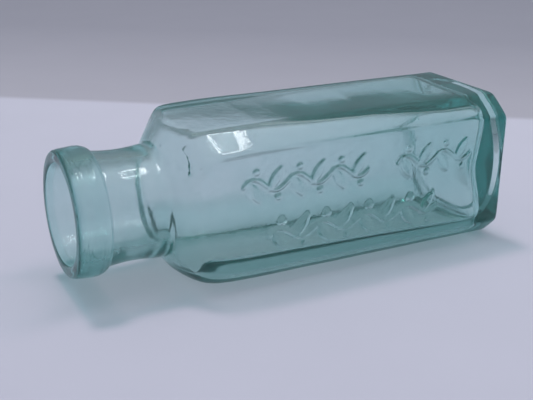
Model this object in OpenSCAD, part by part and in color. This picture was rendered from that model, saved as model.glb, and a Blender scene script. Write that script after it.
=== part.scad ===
// Small mould-blown glass bottle: a square body with chamfered long edges, a round
// shoulder, a wide neck and a band of glass laid round the neck's end.
// Each piece is drawn standing on its base, +Z towards the mouth. lay_down() then
// lays it on its side: mouth towards -X, front face towards -Y, origin on the
// surface that it lies on, below the middle of its length.

/* [Bottle] */
// Height from the base to the mouth
bottle_h = 112; // [104:1:124]
// Diameter of the bore, which the cork fits
bore_d = 23.6; // [20:0.2:24.4]

/* [Body] */
// Width of the square body, from side to side
body_w = 38.2; // [37:0.2:46]
// Chamfer of the long edges, measured along each side
chamfer = 4.8; // [3:0.1:6]
// Glass in the sides
wall = 2.6; // [1.8:0.1:3.2]
// Rounding where the sides turn under to the base
heel_r = 1; // [0.6:0.1:2]

/* [Base] */
// Glass under the cavity, beside the push-up
base_t = 4.4; // [3:0.1:5]
// Diameter of the push-up in the base
pushup_d = 25; // [18:0.5:28]
// Height of the push-up
pushup_h = 1.6; // [0.8:0.1:2.4]
// Glass over the push-up
pushup_t = 4.8; // [3:0.1:6]
// Rounding of the cavity's bottom edge
cavity_heel_r = 3.4; // [2:0.1:5]

/* [Shoulder] */
// Slope of the shoulder, in degrees from the base plane
shoulder_slope = 37; // [28:1:44]
// Rounding from the shoulder into the sides
shoulder_r = 6; // [4:0.5:7]
// Rounding from the neck into the shoulder
root_r = 1.2; // [0.6:0.1:2]

/* [Neck] */
// Length from the mouth to the shoulder
neck_l = 22.2; // [18:0.2:26]
// Glass in the neck where the collar grips it
neck_wall = 1.8; // [1.2:0.1:2.4]
// How far the neck draws in below the collar, at its waist
waist_step = 0.3; // [0:0.05:0.6]

/* [Collar] */
// Length of the collar along the neck
collar_h = 8.6; // [7.4:0.1:10]
// How far the collar stands out from the neck at its widest
collar_step = 1.5; // [0.8:0.1:2.4]
// How far the lip's outer edge draws in from the collar's widest
lip_step = 0.3; // [0:0.05:0.6]
// Glass that the collar lays over the end of the neck
lip_t = 2; // [1.6:0.1:2.4]
// Rounding of the lip's outer edge
lip_r = 0.8; // [0.4:0.1:1.2]
// Rounding of the mouth's inner edge
mouth_r = 0.5; // [0.3:0.1:0.8]
// Long rounding from the collar's side down to the neck
collar_round_r = 7; // [5:0.5:9]

/* [Hidden] */
$fn = 96;

// How far a cut runs past the surface that it cuts
over = 1;
// How far the shoulder's round outline clears the section's own corners
round_margin = 0.4;
// Colours of the two glasses
body_glass = [0.62, 0.78, 0.78];
collar_glass = [0.50, 0.70, 0.71];
// Steps in each rounded stretch of a turned outline
arc_steps = 12;

// Radii, from the bore outwards
bore_r = bore_d / 2;
neck_r = bore_r + neck_wall;
waist_r = neck_r - waist_step;
collar_r = neck_r + collar_step;

// Inner section: each side moves in by the wall, so the chamfer narrows
chamfer_inset_share = 2 - sqrt(2);
cavity_w = body_w - 2 * wall;
cavity_chamfer = chamfer - chamfer_inset_share * wall;

// Radius of the round outline that the shoulder is turned to
side_r = norm([body_w / 2, body_w / 2 - chamfer]) + round_margin;
cavity_side_r = side_r - wall;

// Heights of the neck's root, of the neck's own end and of the collar's lower edge
root_z = bottle_h - neck_l;
neck_end_z = bottle_h - lip_t;
collar_z = bottle_h - collar_h;
// The shoulder's inner slope lies a wall's thickness under its outer one
cavity_root_z = root_z + tan(shoulder_slope) * (waist_r - bore_r) - wall / cos(shoulder_slope);
cavity_root_r = root_r + wall;

// Radius of the sphere that presses the push-up
pushup_r = (pow(pushup_d / 2, 2) + pow(pushup_h, 2)) / (2 * pushup_h);

// Points of an arc from angle a0 to angle a1 about [x, z]
function arc(x, z, r, a0, a1) =
    [for (i = [0:arc_steps]) let (a = a0 + (a1 - a0) * i / arc_steps) [x + r * cos(a), z + r * sin(a)]];

// Turned outline from the sides up to the tube: a rounding, the slope, the root's hollow
function shoulder_line(tube_r, tube_z, outer_r, round_r, hollow_r) =
    let (
        s = shoulder_slope,
        round_x = outer_r - round_r,
        slope_top_z = tube_z - tan(s) * (round_x + round_r * sin(s) - tube_r),
        hollow_z = tube_z - hollow_r * tan(s) + hollow_r / cos(s)
    )
    concat(
        arc(round_x, slope_top_z - round_r * cos(s), round_r, 0, 90 - s),
        arc(tube_r + hollow_r, hollow_z, hollow_r, 270 - s, 180)
    );

// Distance from the axis to the chamfers of a square section
function chamfer_distance(w, c) = (w - c) / sqrt(2);

// Square with its corners cut at 45 degrees
module section(w, c) {
    intersection() {
        square(w, center = true);
        rotate(45) square(2 * chamfer_distance(w, c), center = true);
    }
}

// What is cut from one side's lower edge, at distance from the axis, to round it
module heel_trim(distance, length, r) {
    translate([distance - r, 0, 0])
        difference() {
            translate([0, -length / 2, -over]) cube([r + over, length, r + over]);
            translate([0, 0, r]) rotate([90, 0, 0]) cylinder(r = r, h = length + over, center = true);
        }
}

// Eight-sided column with all its lower edges rounded
module column(w, c, r, h) {
    difference() {
        linear_extrude(height = h) section(w, c);
        for (side = [0:3]) {
            rotate(90 * side) heel_trim(w / 2, w, r);
            rotate(90 * side + 45) heel_trim(chamfer_distance(w, c), w, r);
        }
    }
}

// The bottle's outside, without the collar
module body_form() {
    intersection() {
        column(body_w, chamfer, heel_r, bottle_h);
        rotate_extrude()
            polygon(concat(
                [[0, 0], [side_r, 0]],
                shoulder_line(waist_r, root_z, side_r, shoulder_r, root_r),
                [[neck_r, collar_z], [neck_r, neck_end_z], [0, neck_end_z]]
            ));
    }
}

// The space inside, up through the bore
module cavity_form() {
    bore_top_z = bottle_h + over;
    difference() {
        intersection() {
            translate([0, 0, base_t])
                column(cavity_w, cavity_chamfer, cavity_heel_r, bottle_h);
            rotate_extrude()
                polygon(concat(
                    [[0, 0], [cavity_side_r, 0]],
                    shoulder_line(bore_r, cavity_root_z, cavity_side_r, shoulder_r - wall, cavity_root_r),
                    [[bore_r, bore_top_z], [0, bore_top_z]]
                ));
        }
        translate([0, 0, pushup_h + pushup_t - pushup_r]) sphere(r = pushup_r);
    }
}

module pushup() {
    translate([0, 0, pushup_h - pushup_r]) sphere(r = pushup_r);
}

// Turns a standing piece on its side
module lay_down() {
    translate([bottle_h / 2, 0, body_w / 2]) rotate([0, -90, 0]) children();
}

// Body, shoulder and neck, blown in one
module bottle_body() {
    color(body_glass)
        lay_down()
            difference() {
                body_form();
                cavity_form();
                pushup();
            }
}

// Outline of the band laid round the neck's end: it swells in one long rounding from
// the neck to its widest, and its top is rounded over from the side to the mouth
function collar_line() =
    let (
        round_x = collar_r - collar_round_r,
        round_a = acos((neck_r - round_x) / collar_round_r),
        lip_x = collar_r - lip_step - lip_r
    )
    concat(
        arc(round_x, collar_z + collar_round_r * sin(round_a), collar_round_r, -round_a, 0),
        arc(lip_x, bottle_h - mouth_r - lip_r, lip_r, 0, 60),
        arc(bore_r + mouth_r, bottle_h - mouth_r, mouth_r, 90, 180),
        [[bore_r, neck_end_z], [neck_r, neck_end_z]]
    );

// The collar caps the neck's cracked-off end and grips it outside
module lip_collar() {
    color(collar_glass)
        lay_down()
            rotate_extrude() polygon(collar_line());
}

bottle_body();
lip_collar();
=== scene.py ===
import math

import bmesh
import bpy
import numpy as np
from mathutils import Matrix, Vector


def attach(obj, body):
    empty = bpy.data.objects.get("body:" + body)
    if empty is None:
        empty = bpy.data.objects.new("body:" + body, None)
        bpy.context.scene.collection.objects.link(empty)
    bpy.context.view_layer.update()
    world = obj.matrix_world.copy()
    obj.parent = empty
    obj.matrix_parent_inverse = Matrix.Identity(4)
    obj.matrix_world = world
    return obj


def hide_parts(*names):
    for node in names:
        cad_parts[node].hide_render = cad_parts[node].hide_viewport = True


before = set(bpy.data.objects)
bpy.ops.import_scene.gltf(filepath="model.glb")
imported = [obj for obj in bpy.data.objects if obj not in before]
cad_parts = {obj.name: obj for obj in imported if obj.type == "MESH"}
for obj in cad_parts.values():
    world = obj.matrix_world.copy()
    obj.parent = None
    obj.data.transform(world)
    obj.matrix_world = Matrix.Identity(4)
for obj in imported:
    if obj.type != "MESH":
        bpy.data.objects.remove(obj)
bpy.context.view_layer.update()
scene = bpy.context.scene
scene.view_settings.view_transform = "Standard"
# Light crosses many faces of glass before it leaves the bottle
scene.cycles.max_bounces = 40
scene.cycles.transmission_bounces = 40
scene.cycles.glossy_bounces = 32
scene.cycles.transparent_max_bounces = 40

# Camera: the photograph's view, from the front and towards the mouth, looking down on the bottle.
# Its place, turn and focal length come from fitting the bottle's own edges.
camera_lens = bpy.data.cameras.new("camera")
camera_lens.lens = 62.815
camera_lens.sensor_width = 36.0
camera_lens.clip_start = 0.01
camera = bpy.data.objects.new("camera", camera_lens)
scene.collection.objects.link(camera)
camera_turn, camera_tilt, camera_roll = 0.4851, 0.3612, 0.0127
camera_place = Vector((-0.10558, -0.19379, 0.09645))
ahead = Vector((math.sin(camera_turn) * math.cos(camera_tilt),
                math.cos(camera_turn) * math.cos(camera_tilt),
                -math.sin(camera_tilt)))
level = ahead.cross(Vector((0, 0, 1))).normalized()
upright = level.cross(ahead)
right = math.cos(camera_roll) * level + math.sin(camera_roll) * upright
above = math.cos(camera_roll) * upright - math.sin(camera_roll) * level
camera_axes = Matrix((right, above, -ahead)).transposed().to_4x4()
camera.matrix_world = Matrix.Translation(camera_place) @ camera_axes
scene.camera = camera

# Table: a plain pale sheet that the bottle lies on. Past a line across it the colour turns to a grey
# that darkens with distance: painted shade, in place of a backdrop that gets less of the lamp's light.
table_size, table_drop = 6.0, 0.0002
bpy.ops.object.select_all(action="DESELECT")
bpy.ops.mesh.primitive_plane_add(size=table_size, location=(0, 0, -table_drop))
table = bpy.context.object
table.name = "table_top"
bpy.ops.object.transform_apply(location=True, rotation=True, scale=True)


def start_tree(holder, kind="Material"):
    """Empties the nodes of a material or the room, and gives its tree and output node."""
    holder.use_nodes = True
    holder.node_tree.nodes.clear()
    return holder.node_tree, holder.node_tree.nodes.new("ShaderNodeOutput" + kind)


def add_ramp(tree, source, stops):
    """A colour ramp whose stops are each a place and a colour."""
    node = tree.nodes.new("ShaderNodeValToRGB")
    while len(node.color_ramp.elements) < len(stops):
        node.color_ramp.elements.new(0.5)
    for element, (place, colour) in zip(node.color_ramp.elements, stops):
        element.position = place
        element.color = (*colour, 1)
    tree.links.new(source, node.inputs["Fac"])
    return node.outputs["Color"]


def map_values(tree, source, span, target=(0.0, 1.0)):
    """Values between the two of span become values between the two of target."""
    node = tree.nodes.new("ShaderNodeMapRange")
    node.inputs["From Min"].default_value, node.inputs["From Max"].default_value = span
    node.inputs["To Min"].default_value, node.inputs["To Max"].default_value = target
    tree.links.new(source, node.inputs["Value"])
    return node.outputs["Result"]


def add_noise(tree, place, scale, detail, distortion=0.0):
    """Uneven spots, scale of them to the metre."""
    node = tree.nodes.new("ShaderNodeTexNoise")
    node.inputs["Scale"].default_value = scale
    node.inputs["Detail"].default_value = detail
    node.inputs["Distortion"].default_value = distortion
    tree.links.new(place, node.inputs["Vector"])
    return node.outputs["Fac"]


paper = bpy.data.materials.new("pale_paper")
tree, out = start_tree(paper)
surface = tree.nodes.new("ShaderNodeBsdfPrincipled")
surface.inputs["Roughness"].default_value = 0.75
surface.inputs["Specular IOR Level"].default_value = 0.2
tree.links.new(surface.outputs["BSDF"], out.inputs["Surface"])
coords = tree.nodes.new("ShaderNodeTexCoord")
away = tree.nodes.new("ShaderNodeVectorMath")
away.operation = "DOT_PRODUCT"
away.inputs[1].default_value = (0.56, 0.83, 0)
tree.links.new(coords.outputs["Object"], away.inputs[0])
# Painted shade: pale near the bottle, then a grey that darkens further away
shade = add_ramp(tree, map_values(tree, away.outputs["Value"], (0.10, 0.50)), [
    (0.088, (0.490, 0.498, 0.600)),
    (0.100, (0.366, 0.366, 0.432)),
    (0.500, (0.272, 0.278, 0.336)),
    (1.000, (0.256, 0.264, 0.320)),
])
fibre = add_noise(tree, coords.outputs["Object"], scale=30.0, detail=3.0)
mottled = tree.nodes.new("ShaderNodeVectorMath")
mottled.operation = "SCALE"
tree.links.new(shade, mottled.inputs[0])
tree.links.new(map_values(tree, fibre, (0.0, 1.0), (0.975, 1.025)), mottled.inputs["Scale"])
tree.links.new(mottled.outputs["Vector"], surface.inputs["Base Color"])
table.data.materials.append(paper)

# Light: an even grey room, one lamp above and a little behind that throws the soft shadow,
# a fainter one from the base's side, and a square ring lamp overhead, which the glass shows
# as a bright hollow outline.
room = bpy.data.worlds.new("room")
scene.world = room
tree, out = start_tree(room, "World")
glow = tree.nodes.new("ShaderNodeBackground")
tree.links.new(glow.outputs["Background"], out.inputs["Surface"])
coords = tree.nodes.new("ShaderNodeTexCoord")
apart = tree.nodes.new("ShaderNodeSeparateXYZ")
tree.links.new(coords.outputs["Generated"], apart.inputs["Vector"])
sky = add_ramp(tree, apart.outputs["Z"], [
    (0.00, (0.255, 0.262, 0.315)),
    (0.35, (0.235, 0.240, 0.280)),
    (0.60, (0.33, 0.34, 0.37)),
    (1.00, (0.62, 0.63, 0.65)),
])
tree.links.new(sky, glow.inputs["Color"])
lamp_distance = 1.40


def hang_lamp(name, across, power, way):
    """A round lamp in the given direction from the bottle, which the glass doesn't mirror."""
    lamp = bpy.data.lights.new(name, "AREA")
    lamp.shape = "DISK"
    lamp.size = across
    lamp.energy = power
    hung = bpy.data.objects.new(name, lamp)
    scene.collection.objects.link(hung)
    way = Vector(way).normalized()
    hung.location = way * lamp_distance
    hung.rotation_mode = "QUATERNION"
    hung.rotation_quaternion = way.to_track_quat("Z", "Y")
    hung.visible_glossy = False
    hung.visible_transmission = False


hang_lamp("shadow_lamp", across=0.22, power=8.4, way=(-0.05, 0.30, 0.95))
hang_lamp("side_lamp", across=0.50, power=3.4, way=(0.56, 0.02, 0.83))

ring_size, ring_place = (0.105, 0.135), (0.098, -0.053, 0.47)
ring_corner, ring_strip, ring_strength = 0.022, 0.012, 16.0
bpy.ops.object.select_all(action="DESELECT")
bpy.ops.mesh.primitive_plane_add(size=1, location=(0, 0, 0))
ring = bpy.context.object
ring.name = "ring_lamp"
ring.data.transform(Matrix.Diagonal((*ring_size, 1, 1)))
bpy.ops.object.mode_set(mode="EDIT")
bpy.ops.mesh.select_all(action="SELECT")
bpy.ops.mesh.bevel(affect="VERTICES", offset=ring_corner, segments=6)
bpy.ops.mesh.inset(thickness=ring_strip)
bpy.ops.mesh.delete(type="FACE")
bpy.ops.object.mode_set(mode="OBJECT")
ring.data.transform(Matrix.Translation(ring_place))
ring_glow = bpy.data.materials.new("ring_glow")
tree, out = start_tree(ring_glow)
glow = tree.nodes.new("ShaderNodeEmission")
glow.inputs["Strength"].default_value = ring_strength
tree.links.new(glow.outputs["Emission"], out.inputs["Surface"])
ring.data.materials.append(ring_glow)

# Body: square column with chamfered long edges, round shoulder and neck, blown in one in a mould
# from pale aqua glass. Its wall is hollow and uneven, its base thick with a shallow push-up.
mm = 0.001
bottle_length, body_width, chamfer, wall = 112.0, 38.2, 4.8, 2.6
half_width = body_width / 2
axis_height = half_width
bore_radius, neck_radius, waist_radius = 11.8, 13.6, 13.1
neck_end, collar_end, neck_length = 2.0, 8.05, 22.2
shoulder_slope = math.radians(37)
join_gap = 0.01


def arc_points(centre_s, centre_r, radius, angle_from, angle_to, steps=24):
    angles = np.linspace(math.radians(angle_from), math.radians(angle_to), steps + 1)
    return np.column_stack([centre_s + radius * np.cos(angles), centre_r + radius * np.sin(angles)])


def shoulder_points(tube_r, root_s, side_r, round_r, hollow_r, slope=shoulder_slope):
    """Outline from the tube down to the sides, as (distance from the mouth, radius)."""
    tan, sin, cos = math.tan(slope), math.sin(slope), math.cos(slope)
    round_x = side_r - round_r
    slope_s = root_s + tan * (round_x + round_r * sin - tube_r)
    hollow_s = root_s + hollow_r * tan - hollow_r / cos
    hollow = arc_points(hollow_s, tube_r + hollow_r, hollow_r, -90, -math.degrees(slope))
    rounding = arc_points(slope_s + round_r * cos, round_x, round_r, 180 - math.degrees(slope), 90)
    return np.vstack([hollow, rounding])


def resample(line, spacing):
    """Points along a line at a spacing that may change with the distance from the mouth."""
    steps = np.hypot(*np.diff(line, axis=0).T)
    length = np.concatenate([[0], np.cumsum(steps)])
    fine = np.linspace(0, length[-1], 4000)
    place = np.column_stack([np.interp(fine, length, line[:, i]) for i in (0, 1)])
    density = 1.0 / spacing(place[:, 0])
    count = np.concatenate([[0], np.cumsum((density[1:] + density[:-1]) / 2 * np.diff(fine))])
    wanted = np.linspace(0, count[-1], int(round(count[-1])) + 1)
    return np.column_stack([np.interp(wanted, count, place[:, i]) for i in (0, 1)])


# The section's eight flats from the front upwards: their turn, and their distance from the axis.
# The front upper chamfer came out of the mould steeper and wider than the others.
front_top, front_top_flat = math.radians(53.2), 23.06
chamfer_flat = (body_width - chamfer) / math.sqrt(2)
plane_turns = [
    0, front_top, math.pi / 2, 3 * math.pi / 4,
    math.pi, 5 * math.pi / 4, 3 * math.pi / 2, 7 * math.pi / 4,
]
plane_distances = np.array([
    half_width, front_top_flat, half_width, chamfer_flat,
    half_width, chamfer_flat, half_width, chamfer_flat,
])
edge_power, outer_blend, inner_blend = 64, 44, 36


def section_radius(angle, distances, power):
    """Distance from the axis to the eight sides, rounded where two sides meet."""
    total = np.zeros_like(angle)
    for turn, distance in zip(plane_turns, distances):
        total += (np.clip(np.cos(angle - turn), 1e-3, None) / distance) ** power
    return total ** (-1.0 / power)


def soft_least(a, b, power):
    return (a ** -power + b ** -power) ** (-1.0 / power)


def ripple(x, angle, seed, wavelength, amplitude):
    """A gentle unevenness of blown glass: a few slow waves that cross each other."""
    draw = np.random.default_rng(seed)
    total = np.zeros(np.broadcast(x, angle).shape)
    for _ in range(7):
        turns = draw.integers(0, 4)
        length = wavelength * draw.uniform(0.7, 1.8)
        wave = np.sin(2 * math.pi * x / length + turns * angle + draw.uniform(0, 6.28))
        total += wave * draw.uniform(0.4, 1)
    return amplitude * total / 7 ** 0.5


def build_tube(name, radius_rows, place_rows, angles):
    """A grid rolled into a tube: one row of points for each ring, one column for each angle."""
    rows, columns = radius_rows.shape
    bpy.ops.object.select_all(action="DESELECT")
    bpy.ops.mesh.primitive_grid_add(x_subdivisions=columns, y_subdivisions=rows - 1, size=1)
    tube = bpy.context.object
    tube.name = name
    mesh = tube.data
    shape = np.empty((rows, columns + 1, 3))
    around = np.append(angles, angles[0])
    wide = np.concatenate([radius_rows, radius_rows[:, :1]], axis=1)
    along = np.concatenate([place_rows, place_rows[:, :1]], axis=1)
    shape[..., 0] = along - bottle_length / 2
    shape[..., 1] = -wide * np.cos(around)
    shape[..., 2] = axis_height + wide * np.sin(around)
    mesh.vertices.foreach_set("co", (shape * mm).ravel())
    mesh.update()
    bpy.ops.object.mode_set(mode="EDIT")
    bpy.ops.mesh.select_all(action="SELECT")
    bpy.ops.mesh.remove_doubles(threshold=1e-6)
    bpy.ops.object.mode_set(mode="OBJECT")
    return tube


def spread_angles(distances, front_marks):
    """Angles round the section: close together where sides meet and under the relief."""
    corners = []
    for k in range(8):
        a, b = plane_turns[k], (plane_turns + [2 * math.pi])[k + 1]
        p, q = distances[k], distances[(k + 1) % 8]
        corners.append(a + math.atan2(q - p * math.cos(b - a), p * math.sin(b - a)))
    marks = list(front_marks)
    for k, corner in enumerate(corners):
        marks += list(corner + np.linspace(-0.04, 0.04, 7))
        if k < 7:
            gap = corners[k + 1] - corner - 0.12
            marks += list(corner + 0.06 + np.linspace(0, gap, max(4, int(gap / 0.075))))
    marks = np.sort(np.mod(np.array(marks), 2 * math.pi))
    return marks[np.concatenate([[True], np.diff(marks) > 0.003])]


side_radius = math.hypot(half_width, half_width - chamfer) + 0.4
base_s, heel = bottle_length, 1.0
waist_s, waist_flare = 14.5, 75
shoulder_round, root_hollow = 8.4, 1.0
outer_line = np.vstack([
    [[neck_end + join_gap, neck_radius - join_gap], [collar_end, neck_radius]],
    [[s, waist_radius + (s - waist_s) ** 2 / waist_flare]
     for s in np.linspace(collar_end + 0.2, 20.4, 16)],
    shoulder_points(neck_radius, neck_length, side_radius, shoulder_round, root_hollow),
    [[base_s - heel, side_radius]],
])
# Columns on the front lie close together under each row of the relief
row_heights = np.concatenate([
    np.linspace(-13.6, -10.8, 5), np.arange(-10.4, -2.4, 0.27), np.linspace(-2.0, 1.4, 6),
    np.arange(1.9, 10.9, 0.27), np.linspace(11.4, 13.6, 4),
])
outer_angles = spread_angles(
    plane_distances,
    np.concatenate([np.arctan2(row_heights, half_width), np.arange(0.72, 0.93, 0.03)]))


def outer_spacing(s):
    return np.where(s < 22, 0.6, np.where(s < 34, 0.40, np.where(s < 103, 0.315, 0.8)))


rings = resample(outer_line, outer_spacing)
heel_turn = np.linspace(0, math.pi / 2, 8)[1:]
base_inset = heel * (1 - np.cos(heel_turn))
base_place = base_s - heel + heel * np.sin(heel_turn)
radius_rows, place_rows = [], []


def side_taper(s):
    """How far the sides draw in towards the shoulder: the chamfers most, the wide faces less."""
    inset = np.interp(s, [24, 28, 29.5, 33, 36.5, 40, 45, 50],
                      [2.0, 1.2, 0.975, 0.55, 0.275, 0.125, 0.025, 0.0])
    return inset * np.array([0.5, 1, 0.5, 0.6, 0.5, 0.6, 0.5, 0.8])


def turned_offset(s):
    """How far the turned shoulder and neck sit above the body's axis, and behind it."""
    lift = np.interp(s, [0, 21, 24, 31, 36], [-0.43, -0.43, 0.25, 0.5, 0.0])
    back = np.interp(s, [0, 21, 25, 31, 36], [0.0, 0.0, 0.3, 0.4, 0.0])
    return lift, back


for s, r in rings:
    lift, back = turned_offset(s)
    lean = lift * np.sin(outer_angles) - back * np.cos(outer_angles)
    circle = lean + np.sqrt(np.maximum(r * r - lift * lift - back * back + lean * lean, 0.01))
    section = section_radius(outer_angles, plane_distances - side_taper(s), edge_power)
    radius_rows.append(soft_least(section, circle, outer_blend) if s > 21 else circle)
    place_rows.append(np.full(len(outer_angles), s))
side_row = radius_rows[-1]
for inset, s in zip(base_inset, base_place):
    radius_rows.append(side_row - inset)
    place_rows.append(np.full(len(outer_angles), s))
pushup_r, pushup_h, pushup_wall, pushup_dome = 15.9, 1.4, 1.2, 0.5
for share in np.linspace(0, 1, 9)[1:]:
    radius_rows.append((side_row - heel) * (1 - share) + pushup_r * share)
    place_rows.append(np.full(len(outer_angles), base_s))
floor_r = pushup_r - pushup_wall
for r in np.concatenate([
        pushup_r - pushup_wall * np.linspace(0, 1, 9)[1:],
        floor_r * (1 - np.linspace(0, 1, 13)[1:])]):
    slope = np.clip((pushup_r - r) / pushup_wall, 0, 1)
    dome = pushup_dome * (1 - min(r / floor_r, 1) ** 2)
    depth_here = pushup_h * slope * slope * (3 - 2 * slope) + dome
    radius_rows.append(np.full(len(outer_angles), max(r, 0.0)))
    place_rows.append(np.full(len(outer_angles), base_s - depth_here))
radius_rows, place_rows = np.array(radius_rows), np.array(place_rows)
flat_part = np.clip((place_rows - 20) / 8, 0, 1) * np.clip((base_s - 1.2 - place_rows) / 6, 0, 1)
flat_part[len(rings):] = 0
radius_rows += flat_part * ripple(
    place_rows, outer_angles[None, :], seed=5, wavelength=26, amplitude=0.035)

# The relief on the front: two rows of a running vine with leaves and berries
stroke_half, stroke_high, leaf_wide, berry_r = 0.80, 0.52, 0.75, 0.35


def segment_gap(px, pz, ax, az, bx, bz):
    """Distance from each point p to the straight line from a to b."""
    reach = (bx - ax) ** 2 + (bz - az) ** 2
    along = np.clip(((px - ax) * (bx - ax) + (pz - az) * (bz - az)) / reach, 0, 1)
    return np.hypot(px - ax - along * (bx - ax), pz - az - along * (bz - az))


def leaf(px, pz, ax, az, bx, bz, wide):
    """A pointed leaf from its stalk at a to its tip at b."""
    reach = (bx - ax) ** 2 + (bz - az) ** 2
    along = np.clip(((px - ax) * (bx - ax) + (pz - az) * (bz - az)) / reach, 0, 1)
    side = np.hypot(px - ax - along * (bx - ax), pz - az - along * (bz - az))
    return np.maximum(side - wide * 4 * along * (1 - along), 0)


def vine(px, pz, s_from, s_to, z_mid, sway, pitch, reach):
    """A stem that sways along the row, a leaf in each bend and a berry outside it."""
    phase = math.pi * (px - s_from) / pitch
    steep = sway * math.pi / pitch * np.cos(phase)
    stem = np.abs(pz - z_mid - sway * np.sin(phase)) / np.sqrt(1 + steep * steep)
    gaps = [np.where((px > s_from) & (px < s_to), stem, 9)]
    for i, s in enumerate(np.arange(s_from + pitch / 2, s_to, pitch)):
        up = 1 if i % 2 == 0 else -1
        stalk = s - 0.30 * pitch, z_mid + 0.8 * sway * up
        tip = s + 0.22 * pitch, z_mid - up * reach
        gaps.append(leaf(px, pz, *stalk, *tip, leaf_wide))
        berry = np.hypot(px - s - 0.1 * pitch, pz - z_mid - up * (sway + 1.75))
        gaps.append(np.maximum(berry - berry_r, 0))
    return np.minimum.reduce(gaps)


def relief_height(px, pz):
    """How far the vine stands out: one row above, which breaks off in the middle, and one below."""
    gap = np.minimum.reduce([
        vine(px, pz, 36.5, 70.0, 25.4, 1.5, 5.6, 3.6),
        vine(px, pz, 78.0, 100.4, 25.4, 1.5, 5.6, 3.6),
        vine(px, pz, 43.0, 91.0, 12.8, 1.4, 6.0, 3.4),
    ])
    share = np.clip(1 - gap / stroke_half, 0, 1)
    return stroke_high * share * share * (3 - 2 * share)


front = np.abs(np.mod(outer_angles + math.pi, 2 * math.pi) - math.pi) < 0.66
point_z = axis_height + radius_rows * np.sin(outer_angles)[None, :]
raised = relief_height(place_rows, point_z)
raised[:, ~front] = 0
raised[(place_rows > base_s - 2) | (place_rows < 33)] = 0
# The mould's seam, a low thread of glass along the front's upper corner
seam_turn, seam_wide, seam_high = math.radians(37.6), 0.012, 0.11
seam = seam_high * np.exp(-((outer_angles - seam_turn) / seam_wide) ** 2)
seam_ends = np.clip((place_rows - 34) / 8, 0, 1) * np.clip((base_s - 2 - place_rows) / 4, 0, 1)
raised += seam[None, :] * seam_ends
radius_rows += raised / np.cos(np.where(front, outer_angles, 0))[None, :]

# A fold that the glass took as it met the mould: a short crease on the shoulder with a thin tail
fold_r = 18.5
around_mm = np.broadcast_to(
    (np.mod(outer_angles + math.pi, 2 * math.pi) - math.pi) * fold_r, place_rows.shape)
for deep, half, fold in (
    (0.90, 0.55, [(26.0, 0.93), (26.3, 0.782), (26.1, 0.684), (25.8, 0.608)]),
    (0.35, 0.40, [(25.8, 0.608), (26.3, 0.486), (26.3, 0.367), (26.5, 0.223)]),
    (0.60, 0.40, [(25.8, 0.608), (24.7, 0.575), (23.4, 0.579)]),
):
    for (s_from, a_from), (s_to, a_to) in zip(fold, fold[1:]):
        gap = segment_gap(place_rows, around_mm, s_from, a_from * fold_r, s_to, a_to * fold_r)
        share = np.clip(1 - gap / half, 0, 1)
        radius_rows -= 0.6 * deep * share * share * (3 - 2 * share) * (place_rows > 21)

outer = build_tube("bottle_glass", radius_rows, place_rows, outer_angles)

# The space inside, which the breath rounded: softer corners, slow waves and a hollow bottom.
bore_draw, base_thick, bottom_r = 1.2, 4.4, 3.4
inner_line = np.vstack([
    [[neck_end + join_gap, bore_radius], [5.0, bore_radius]],
    [[s, bore_radius - bore_draw * math.sin(min((s - 5.0) / 9.0, 1) * math.pi / 2) ** 2]
     for s in np.linspace(5.5, 18, 20)],
    shoulder_points(bore_radius - bore_draw, 22.9, side_radius - wall, 5.0, 3.0, math.radians(33)),
    [[bottle_length - base_thick - bottom_r, side_radius - wall]],
])
# The walls here only place the columns
inner_angles = spread_angles(
    plane_distances - np.array([2.4, 2.1, 2.2, 2.6, 2.4, 5.4, 2.8, 2.8]),
    np.concatenate([np.linspace(-0.62, 0.62, 19), np.radians(np.linspace(47, 58, 15))]))


def inner_spacing(s):
    return np.where(s < 22, 0.9, np.where(s < 34, 0.5, 0.9))


rings = resample(inner_line, inner_spacing)


def blown_section(s):
    """The cavity's eight-sided section: thin glass above at the shoulder, thicker towards the base."""
    top = np.interp(s, [28, 44, 56, 65, 76, 88, 96, 107],
                    [1.5, 1.62, 1.78, 1.92, 2.15, 3.15, 3.5, 3.5])
    corner = np.interp(s, [28, 75, 95, 107], [2.0, 2.0, 2.3, 2.3])
    side = np.interp(s, [28, 60, 107], [1.6, 2.5, 4.1])
    thick = np.array([side, corner, top, 2.6, side, 5.4, 2.8, 3.6])
    row = section_radius(inner_angles, plane_distances - side_taper(s) - thick, edge_power)
    top_swell = np.interp(s, [45, 52, 62, 74, 95, 106], [0.0, 0.3, 1.05, 1.3, 1.2, 0.3])
    for turn, high, reach in ((math.pi / 2, top_swell, 12.8), (0.0, 0.3, 14.0), (math.pi, 0.3, 14.0)):
        away = np.mod(inner_angles - turn + math.pi, 2 * math.pi) - math.pi
        across = np.clip(row * np.sin(away) / reach, -1, 1)
        swell = high * (1 - across ** 2) / np.cos(np.clip(away, -1.2, 1.2))
        row = row - np.where(np.abs(away) < 1.2, swell, 0)
    return row


radius_rows, place_rows = [], []
for s, r in rings:
    lift, back = turned_offset(s)
    lift += np.interp(s, [6, 12, 20, 26], [0.0, 0.35, 0.35, 0.0])
    lean = lift * np.sin(inner_angles) - back * np.cos(inner_angles)
    circle = lean + np.sqrt(np.maximum(r * r - lift * lift - back * back + lean * lean, 0.01))
    radius_rows.append(soft_least(blown_section(s), circle, inner_blend) if s > 21 else circle)
    place_rows.append(np.full(len(inner_angles), s))
side_row = radius_rows[-1]
for turn in np.linspace(0, math.pi / 2, 11)[1:]:
    radius_rows.append(side_row - bottom_r * (1 - math.cos(turn)))
    bottom_s = bottle_length - base_thick - bottom_r + bottom_r * math.sin(turn)
    place_rows.append(np.full(len(inner_angles), bottom_s))
edge_row = radius_rows[-1]
for share in np.linspace(0, 1, 15)[1:]:
    row = edge_row * (1 - share)
    radius_rows.append(row)
    place_rows.append(
        bottle_length - base_thick - 2.0 * (1 - (row / edge_row.mean()) ** 2).clip(0, 1))
radius_rows, place_rows = np.array(radius_rows), np.array(place_rows)
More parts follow.
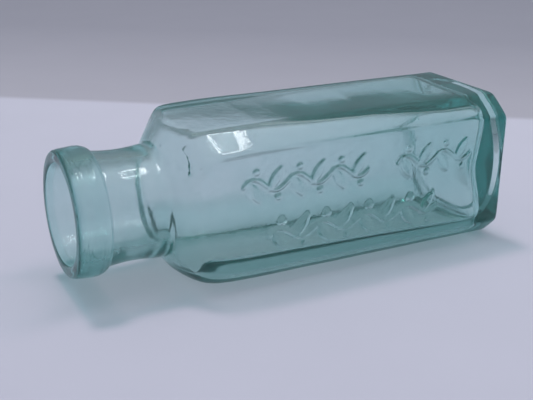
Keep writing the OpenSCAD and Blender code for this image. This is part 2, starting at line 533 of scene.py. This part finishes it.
blown = np.clip((place_rows - 14) / 16, 0, 1) * np.clip((radius_rows - 2) / 8, 0, 1)
radius_rows += blown * ripple(place_rows, inner_angles[None, :], seed=11, wavelength=30, amplitude=0.08)
# The glass settled unevenly in the bottom while it was soft: thicker at the front, smoothed round
dial = np.radians(np.arange(-180, 180))
uneven = np.interp(dial, [-math.pi, -2.4, -1.6, -0.8, 0, 0.8, 1.6, 2.4, math.pi],
                   [0.8, 0.0, -0.4, -1.0, 1.9, 0.2, 0.5, 0.0, 0.8])
uneven = sum(np.roll(uneven, turn) * math.exp(-(turn / 9) ** 2) for turn in range(-24, 25))
uneven /= sum(math.exp(-(turn / 9) ** 2) for turn in range(-24, 25))
thick = np.interp(np.mod(inner_angles + math.pi, 2 * math.pi) - math.pi, dial, uneven)
low = np.clip((place_rows - 86) / 18, 0, 1) ** 2
share = np.clip(radius_rows / 15, 0, 1)
place_rows -= low * thick[None, :] * share * share * (3 - 2 * share)
inner = build_tube("cavity_skin", radius_rows, place_rows, inner_angles)


def add_mark(piece, name, domain, values):
    """A number on each point or face, which the glass reads."""
    mark = piece.data.attributes.new(name, "FLOAT", domain)
    mark.data.foreach_set("value", np.asarray(values, np.float32))


def face_values(piece, kind):
    """The middle or the normal of each face."""
    values = np.empty(len(piece.data.polygons) * 3)
    piece.data.polygons.foreach_get(kind, values)
    return values.reshape(-1, 3)


for skin_part, value in ((outer, 0.0), (inner, 1.0)):
    add_mark(skin_part, "inner_skin", "POINT", np.full(len(skin_part.data.vertices), value))

# Joined at the cracked-off end of the neck, under the collar, by a strip of triangles
bpy.ops.object.select_all(action="DESELECT")
outer.select_set(True)
inner.select_set(True)
bpy.context.view_layer.objects.active = outer
bpy.ops.object.join()
body = bpy.context.object
shell = bmesh.new()
shell.from_mesh(body.data)
rims = {True: [], False: []}
for corner in {v for edge in shell.edges if edge.is_boundary for v in edge.verts}:
    y, z = corner.co.y, corner.co.z - axis_height * mm
    rims[math.hypot(y, z) > (bore_radius + neck_radius) / 2 * mm].append((math.atan2(z, -y), corner))
wide = [v for _, v in sorted(rims[True], key=lambda pair: pair[0])]
tight = [v for _, v in sorted(rims[False], key=lambda pair: pair[0])]
turn_of = {v: a for pairs in rims.values() for a, v in pairs}


def next_turn(rim, at):
    """Angle of the rim's next point, or past the end once the rim is used up."""
    if at + 1 < len(rim):
        return turn_of[rim[at + 1]]
    return math.pi * (1 if at + 1 == len(rim) else 9)


i = j = 0
while i < len(wide) or j < len(tight):
    next_wide = next_turn(wide, i)
    next_tight = next_turn(tight, j)
    here = wide[i % len(wide)], tight[j % len(tight)]
    if next_wide <= next_tight and i < len(wide):
        shell.faces.new((*here, wide[(i + 1) % len(wide)]))
        i += 1
    else:
        shell.faces.new((*here, tight[(j + 1) % len(tight)]))
        j += 1
shell.to_mesh(body.data)
shell.free()
bpy.ops.object.mode_set(mode="EDIT")
bpy.ops.mesh.select_all(action="SELECT")
bpy.ops.mesh.normals_make_consistent(inside=False)
bpy.ops.object.mode_set(mode="OBJECT")
bpy.ops.object.shade_smooth_by_angle(angle=math.radians(50))

# Faces that touch the collar aren't shown, so that the two look like one glass
middles = face_values(body, "center") / mm
from_axis = np.hypot(middles[:, 1], middles[:, 2] - axis_height)
from_mouth = middles[:, 0] + bottle_length / 2
under_collar = (from_mouth < collar_end) & (from_axis > neck_radius - 0.9)
add_mark(body, "joined_face", "FACE", under_collar | (from_mouth < neck_end + 0.05))


def add_math(tree, operation, *values):
    """A sum on sockets and plain numbers."""
    node = tree.nodes.new("ShaderNodeMath")
    node.operation = operation
    for socket, value in zip(node.inputs, values):
        if isinstance(value, bpy.types.NodeSocket):
            tree.links.new(value, socket)
        else:
            socket.default_value = value
    return node.outputs["Value"]


# Surface of blown glass: slow waves, fine mottling and small pits, as a height in metres, with
# specks in some pits, and the clouding and haze that age leaves on it
skin = bpy.data.node_groups.new("blown_skin", "ShaderNodeTree")
skin.interface.new_socket("Place", in_out="INPUT", socket_type="NodeSocketVector")
for effect in ("Height", "Speck", "Cloud", "Haze"):
    skin.interface.new_socket(effect, in_out="OUTPUT", socket_type="NodeSocketFloat")
place = skin.nodes.new("NodeGroupInput").outputs["Place"]
effects = skin.nodes.new("NodeGroupOutput").inputs
total = 0.0
for scale, detail, high, stretch in (
        (110, 2.0, 48e-6, (1, 1, 1)),
        (420, 3.0, 18e-6, (1.6, 1, 0.5)),
        (1500, 2.0, 8.8e-6, (1.5, 1, 0.7))):
    spread = skin.nodes.new("ShaderNodeVectorMath")
    spread.operation = "MULTIPLY"
    spread.inputs[1].default_value = stretch
    skin.links.new(place, spread.inputs[0])
    wave = add_noise(skin, spread.outputs["Vector"], scale, detail)
    total = add_math(skin, "MULTIPLY_ADD", wave, high, total)
pits = skin.nodes.new("ShaderNodeTexVoronoi")
pits.inputs["Scale"].default_value = 260.0
skin.links.new(place, pits.inputs["Vector"])
chance = skin.nodes.new("ShaderNodeSeparateColor")
skin.links.new(pits.outputs["Color"], chance.inputs["Color"])
pit_depth = map_values(skin, pits.outputs["Distance"], (0.03, 0.12), (-40e-6, 0.0))
pitted = add_math(skin, "GREATER_THAN", chance.outputs["Red"], 0.72)
skin.links.new(add_math(skin, "MULTIPLY_ADD", pit_depth, pitted, total), effects["Height"])
specked = add_math(skin, "GREATER_THAN", chance.outputs["Green"], 0.90)
dot = map_values(skin, pits.outputs["Distance"], (0.10, 0.05))
skin.links.new(add_math(skin, "MULTIPLY", specked, dot), effects["Speck"])
cloud = add_noise(skin, place, scale=520.0, detail=6.0, distortion=0.8)
skin.links.new(map_values(skin, cloud, (0.42, 0.72)), effects["Cloud"])
skin.links.new(add_noise(skin, place, scale=160.0, detail=5.0), effects["Haze"])

glass = bpy.data.materials.new("aqua_glass")
tree, out = start_tree(glass)
nodes, links = tree.nodes, tree.links
shader = nodes.new("ShaderNodeBsdfPrincipled")
shader.inputs["Transmission Weight"].default_value = 1.0
shader.inputs["IOR"].default_value = 1.5
shader.inputs["Sheen Weight"].default_value = 0.136
shader.inputs["Sheen Roughness"].default_value = 0.7
shader.inputs["Sheen Tint"].default_value = (0.45, 0.97, 1.0, 1)
coords = nodes.new("ShaderNodeTexCoord")
blown = nodes.new("ShaderNodeGroup")
blown.node_tree = skin
links.new(coords.outputs["Object"], blown.inputs["Place"])
bump = nodes.new("ShaderNodeBump")
bump.inputs["Distance"].default_value = 1.0
links.new(blown.outputs["Height"], bump.inputs["Height"])
links.new(bump.outputs["Normal"], shader.inputs["Normal"])


def read_mark(name):
    """The number that a piece carries on its points or faces."""
    node = nodes.new("ShaderNodeAttribute")
    node.attribute_name = name
    return node.outputs["Fac"]


# Colour: clouded in places, dark in the specks, and darker at the lip, where the darkening is painted
# shade standing in for the dark band that light bent through the lip's glass gives
tone = (1, 1, 1)
for amount, colour in (
        (blown.outputs["Cloud"], (0.93, 0.965, 0.965)),
        (blown.outputs["Speck"], (0.30, 0.40, 0.40)),
        (read_mark("lip_painted_shade"), (0.22, 0.50, 0.50))):
    mix = nodes.new("ShaderNodeMix")
    mix.data_type = "RGBA"
    mix.inputs["B"].default_value = (*colour, 1)
    links.new(amount, mix.inputs["Factor"])
    if isinstance(tone, tuple):
        mix.inputs["A"].default_value = (*tone, 1)
    else:
        links.new(tone, mix.inputs["A"])
    tone = mix.outputs["Result"]
links.new(tone, shader.inputs["Base Color"])

# Gloss: clear outside, hazy inside
rough = nodes.new("ShaderNodeMix")
links.new(read_mark("inner_skin"), rough.inputs["Factor"])
haze = blown.outputs["Haze"]
links.new(map_values(tree, haze, (0.35, 0.75), (0.0, 0.035)), rough.inputs["A"])
links.new(map_values(tree, haze, (0.30, 0.75), (0.05, 0.17)), rough.inputs["B"])
links.new(rough.outputs["Result"], shader.inputs["Roughness"])
links.new(add_math(tree, "SUBTRACT", 1.0, read_mark("joined_face")), shader.inputs["Alpha"])

# Light for the shadow and for the table passes straight through, dimmed most where the glass
# is seen edge on, in place of the bent light that would need far more samples
path = nodes.new("ShaderNodeLightPath")
passing = add_math(tree, "MAXIMUM", path.outputs["Is Shadow Ray"], path.outputs["Is Diffuse Ray"])
facing = nodes.new("ShaderNodeLayerWeight")
facing.inputs["Blend"].default_value = 0.5
dimmed = add_ramp(tree, facing.outputs["Facing"], [
    (0.00, (0.92, 0.90, 0.89)),
    (0.45, (0.95, 0.93, 0.92)),
    (0.70, (1.0, 0.97, 0.96)),
    (0.86, (0.88, 0.84, 0.84)),
    (1.00, (0.2, 0.25, 0.25)),
])
clear = nodes.new("ShaderNodeBsdfTransparent")
links.new(dimmed, clear.inputs["Color"])
shown = nodes.new("ShaderNodeMixShader")
links.new(passing, shown.inputs["Fac"])
links.new(shader.outputs["BSDF"], shown.inputs[1])
links.new(clear.outputs["BSDF"], shown.inputs[2])
links.new(shown.outputs["Shader"], out.inputs["Surface"])
depth = nodes.new("ShaderNodeVolumeAbsorption")
depth.inputs["Color"].default_value = (0.00, 0.585, 0.54, 1)
depth.inputs["Density"].default_value = 80.0
links.new(depth.outputs["Volume"], out.inputs["Volume"])
body.data.materials.clear()
body.data.materials.append(glass)
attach(body, "root")
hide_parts("bottle_body")

# Collar: a band of glass laid hot round the end of the neck and shaped with a tool, which
# leaves fine rings. It caps the neck's end and is one with it once cool.
collar_profile = [
    (8.05, 13.62), (7.98, 13.95), (7.80, 14.25), (7.35, 14.60), (6.6, 14.92), (5.6, 15.10), (4.4, 15.12),
    (3.0, 15.02), (1.6, 14.88), (0.9, 14.80), (0.45, 14.66), (0.16, 14.40), (0.04, 14.05), (0.00, 13.50),
    (0.00, 12.60), (0.10, 12.22), (0.32, 11.97), (0.65, 11.84), (1.10, 11.80),
]
profile = np.array(collar_profile)
length = np.concatenate([[0], np.cumsum(np.hypot(*np.diff(profile, axis=0).T))])
fine = np.linspace(0, length[-1], 60)


def smooth_through(x, xs, ys):
    """Smooth curve through the outline's points (cubic pieces with averaged slopes)."""
    slopes = np.gradient(ys, xs)
    k = np.clip(np.searchsorted(xs, x) - 1, 0, len(xs) - 2)
    h = xs[k + 1] - xs[k]
    u = (x - xs[k]) / h
    return ((1 + 2 * u) * (1 - u) ** 2 * ys[k] + u * (1 - u) ** 2 * h * slopes[k]
            + u * u * (3 - 2 * u) * ys[k + 1] + u * u * (u - 1) * h * slopes[k + 1])


collar_line = np.vstack([
    np.column_stack([smooth_through(fine, length, profile[:, column]) for column in (0, 1)]),
    [[neck_end - join_gap, bore_radius]],
    [[neck_end - join_gap, neck_radius]],
])
tool_rings = sum(
    high * np.exp(-((collar_line[:, 0] - at) / 0.22) ** 2)
    for at, high in ((1.7, 0.05), (2.6, 0.04), (4.9, 0.05), (5.8, 0.06))
)
collar_line[:, 1] += np.where(collar_line[:, 1] > 14.2, tool_rings, 0)
collar_height = axis_height + turned_offset(0)[0]
order_step = 1e-7
bpy.ops.object.select_all(action="DESELECT")
bpy.ops.mesh.primitive_circle_add(vertices=len(collar_line), radius=1, fill_type="NOTHING")
collar = bpy.context.object
collar.name = "collar_glass"
spots = np.zeros((len(collar_line), 3))
spots[:, 0] = collar_line[:, 0] - bottle_length / 2
spots[:, 2] = collar_height + collar_line[:, 1]
collar.data.vertices.foreach_set("co", (spots * mm).ravel())
collar.data.update()
bpy.ops.object.mode_set(mode="EDIT")
bpy.ops.mesh.select_all(action="SELECT")
bpy.ops.mesh.spin(
    steps=160, angle=2 * math.pi, center=(0, 0, collar_height * mm), axis=(1, 0, 0), dupli=False)
bpy.ops.mesh.select_all(action="SELECT")
bpy.ops.mesh.remove_doubles(threshold=2e-6)
bpy.ops.mesh.normals_make_consistent(inside=False)
bpy.ops.object.mode_set(mode="OBJECT")
# Spin leaves its points and faces in an order that changes from run to run, so both are
# put in a fixed one: points by their place, faces by their lowest point
corners = np.empty(len(collar.data.vertices) * 3)
collar.data.vertices.foreach_get("co", corners)
corners = corners.reshape(-1, 3)
order = np.lexsort(np.round(corners / order_step).astype(np.int64).T)
rank = np.empty(len(order), np.int64)
rank[order] = np.arange(len(order))
faces = []
for face in collar.data.polygons:
    around = [int(rank[v]) for v in face.vertices]
    first = around.index(min(around))
    faces.append(around[first:] + around[:first])
collar.data.clear_geometry()
collar.data.from_pydata(corners[order].tolist(), [], sorted(faces))
collar.data.update()
bpy.ops.object.shade_smooth_by_angle(angle=math.radians(40))
corners = corners[order] / mm
# Painted shade: the lip's end and the first millimetre of the band outside the bore are darkened, in
# place of the dark band the bent light makes there
lip_shade_amount = np.interp(corners[:, 0] + bottle_length / 2, [0.1, 1.0], [1.0, 0.0])
lip_radii = np.hypot(corners[:, 1], corners[:, 2] - collar_height)
lip_shade_amount *= np.clip((lip_radii - 11.9) / 0.4, 0, 1)
add_mark(collar, "lip_painted_shade", "POINT", lip_shade_amount)
# Faces that touch the neck, inside the band and at its step, aren't shown
middles = face_values(collar, "center") / mm
from_axis = np.hypot(middles[:, 1], middles[:, 2] - collar_height)
from_mouth = middles[:, 0] + bottle_length / 2
facings = face_values(collar, "normal")
outward = (facings[:, 1] * middles[:, 1] + facings[:, 2] * (middles[:, 2] - axis_height)) / from_axis
on_neck = (from_mouth > neck_end) & (outward < -0.5)
on_neck_end = (from_mouth > neck_end - 0.05) & (facings[:, 0] > 0.9)
add_mark(collar, "joined_face", "FACE", on_neck | on_neck_end)
# The same glass, deeper in colour, and dimming what passes only where it is seen edge on
collar_density = 160.0
band_glass = glass.copy()
band_glass.name = "collar_glass"
for node in band_glass.node_tree.nodes:
    if node.type == "VOLUME_ABSORPTION":
        node.inputs["Density"].default_value = collar_density
    if node.type == "VALTORGB":
        for element in list(node.color_ramp.elements)[:4]:
            element.color = (1, 1, 1, 1)
collar.data.materials.clear()
collar.data.materials.append(band_glass)
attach(collar, "root")
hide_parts("lip_collar")
